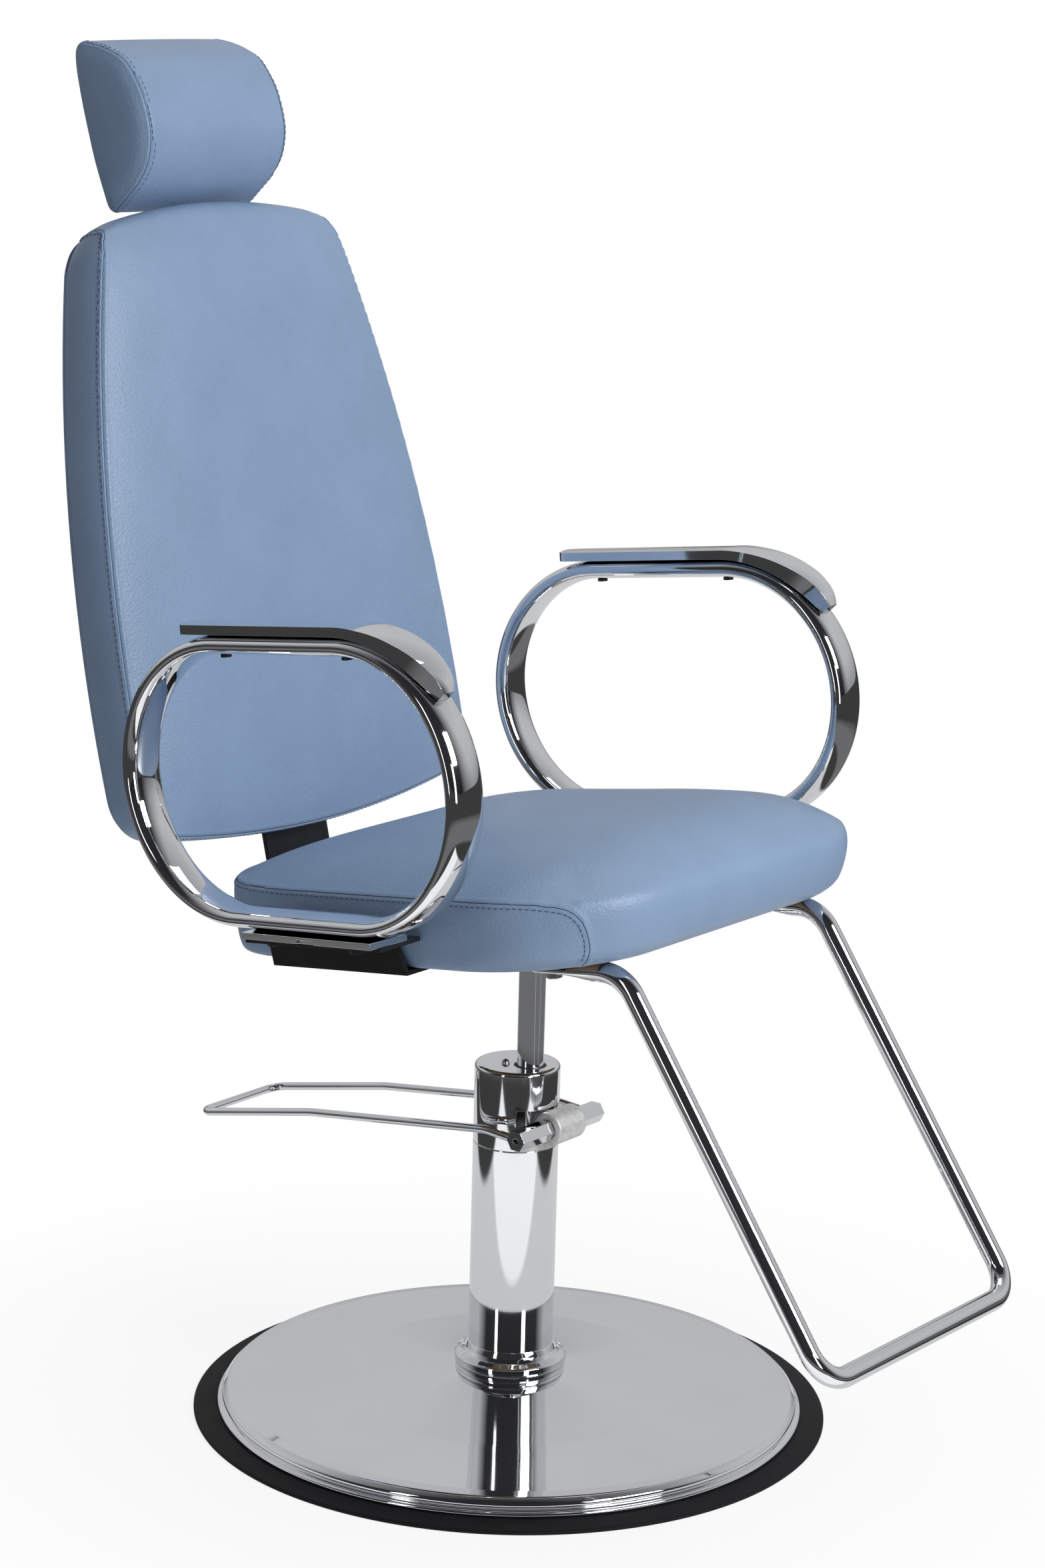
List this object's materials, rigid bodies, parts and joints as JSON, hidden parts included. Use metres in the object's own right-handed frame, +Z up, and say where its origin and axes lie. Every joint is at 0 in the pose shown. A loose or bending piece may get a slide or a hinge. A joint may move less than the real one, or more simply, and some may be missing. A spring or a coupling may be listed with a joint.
{
  "type": "hydraulic barber chair",
  "caption": "Padded barber chair with a sliding headrest, loop armrests and a tube footrest, on a round base with a foot-pumped lifting and swivelling column.",
  "frame": {"origin": "on the floor, under the middle of the round base", "axes": "+Z up; the chair faces -Y; +X is the sitter's left"},
  "size_m": [0.6328, 0.9617, 1.2865],
  "materials": {
    "chrome": "polished chrome plate",
    "cast_metal": "matte grey casting with a grainy skin",
    "black_steel": "black enamel, half gloss",
    "rubber": "smooth black rubber",
    "seal_rubber": "hard black seal rubber",
    "vinyl": "slate-blue upholstery vinyl with a fine leather grain, darker blue stitching",
    "plywood": "bare birch plywood",
    "bronze": "turned bronze",
    "nylon": "natural nylon",
    "zinc_steel": "bright zinc plate"
  },
  "bodies": {
    "root": {"floor_ring": "rubber", "base_plate": "cast_metal", "base_cover": "chrome", "lower_collar": "chrome", "upper_collar": "chrome", "outer_cylinder": "chrome", "column_flange": "cast_metal", "column_plug": "cast_metal", "column_bolts": "zinc_steel", "column_cap": "chrome", "rod_bush": "bronze", "rod_wiper": "seal_rubber", "cap_screw": "zinc_steel", "pressure_cylinder": "zinc_steel", "pump_block": "cast_metal", "pump_lug": "cast_metal", "shaft_bushes": "bronze", "plunger_spring": "zinc_steel"},
    "pedal": {"pedal_bar": "chrome", "bar_hub": "chrome", "pedal_crank": "cast_metal", "pedal_loop": "chrome"},
    "plunger": {"pump_plunger": "zinc_steel"},
    "ram": {"piston_head": "cast_metal", "piston_seal": "seal_rubber"},
    "seat": {"piston_rod": "chrome", "seat_socket": "black_steel", "socket_screws": "zinc_steel", "seat_frame": "black_steel", "frame_bolts": "zinc_steel", "seat_board": "plywood", "seat_cushion": "vinyl", "arm_bracket_left": "black_steel", "arm_bracket_right": "black_steel", "arm_plate_left": "chrome", "arm_plate_right": "chrome", "arm_loop_left": "chrome", "arm_loop_right": "chrome", "arm_cap_left": "chrome", "arm_cap_right": "chrome", "cap_screws": "black_steel", "bracket_bolts": "black_steel", "arm_bolts": "black_steel", "back_bracket": "black_steel", "back_bolts": "zinc_steel", "back_board": "plywood", "back_cushion": "vinyl", "back_panel": "vinyl", "headrest_guide": "black_steel", "guide_liner": "nylon", "guide_screws": "zinc_steel", "footrest_frame": "chrome", "footrest_bolts": "zinc_steel"},
    "headrest": {"headrest_bar": "chrome", "headrest_board": "plywood", "headrest_cushion": "vinyl", "headrest_screws": "zinc_steel"}
  },
  "joints": [
    {"name": "lift", "type": "slide", "parent": "root", "child": "ram", "axis": [0, 0, 1], "range_m": [-0.065, 0.065]},
    {"name": "swivel", "type": "hinge", "parent": "ram", "child": "seat", "pos_m": [0, -0.015, 0.4], "axis": [0, 0, 1], "continuous": true},
    {"name": "headrest_slide", "type": "slide", "parent": "seat", "child": "headrest", "axis": [0, 0.2385, 0.9711], "range_m": [0, 0.09]},
    {"name": "pedal_press", "type": "hinge", "parent": "root", "child": "pedal", "pos_m": [0, -0.048, 0.295], "axis": [-1, 0, 0], "range_deg": [0, 16], "stiffness_Nm_per_rad": 20, "springref_deg": -8.59},
    {"name": "plunger_stroke", "type": "slide", "parent": "root", "child": "plunger", "axis": [0, 0, -1], "range_m": [0, 0.011], "deforming": ["plunger_spring"]}
  ],
  "couplings": [
    {"joint": "plunger_stroke", "follows": "pedal_press", "m_per_rad": 0.038}
  ]
}
